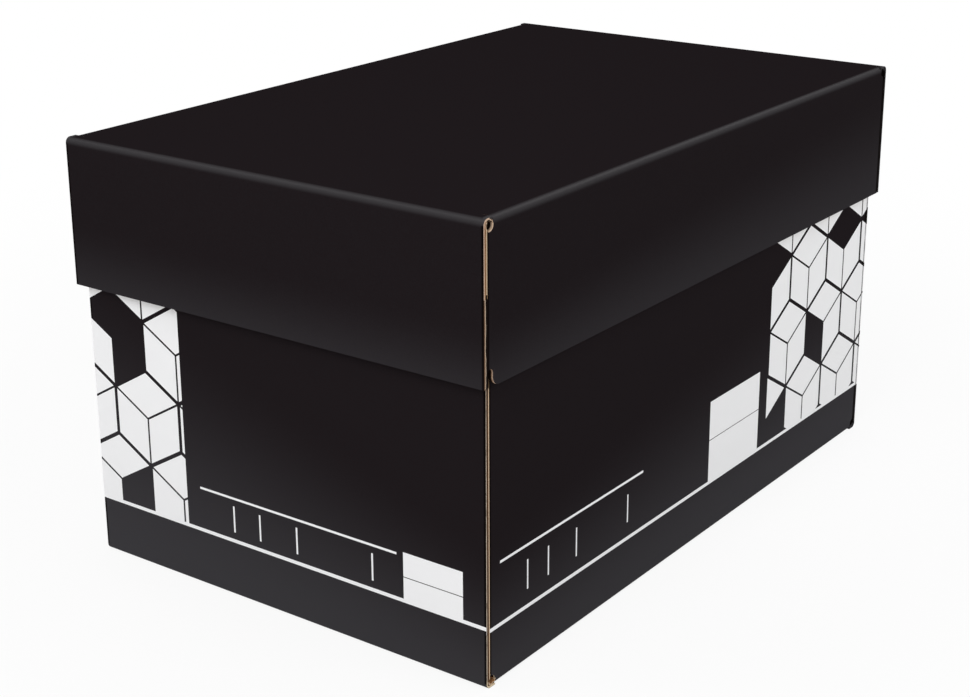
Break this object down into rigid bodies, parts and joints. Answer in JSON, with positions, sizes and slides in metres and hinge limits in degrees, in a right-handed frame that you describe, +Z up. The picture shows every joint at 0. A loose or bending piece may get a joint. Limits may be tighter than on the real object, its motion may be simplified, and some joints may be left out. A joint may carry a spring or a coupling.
{
  "type": "copy paper carton",
  "caption": "Lidded corrugated carton holding two stacks of wrapped copy paper reams; the telescoping lid lifts straight off.",
  "frame": {"origin": "on the ground under the middle of the lid, which is the widest piece", "axes": "+X along the long face, +Z up; the end panels face -X and +X, and the long faces -Y and +Y"},
  "size_m": [0.4596, 0.2948, 0.26],
  "materials": {
    "printed_board": "satin print",
    "ream_wrapper": "satin"
  },
  "bodies": {
    "tray": {"tray": "printed_board", "ream_1": "ream_wrapper", "ream_2": "ream_wrapper", "ream_3": "ream_wrapper", "ream_4": "ream_wrapper", "ream_5": "ream_wrapper", "ream_6": "ream_wrapper", "ream_7": "ream_wrapper", "ream_8": "ream_wrapper"},
    "lid": {"lid": "printed_board"}
  },
  "joints": [
    {"name": "lid_lift", "type": "slide", "parent": "tray", "child": "lid", "axis": [0, 0, 1], "range_m": [0, 0.2]}
  ]
}
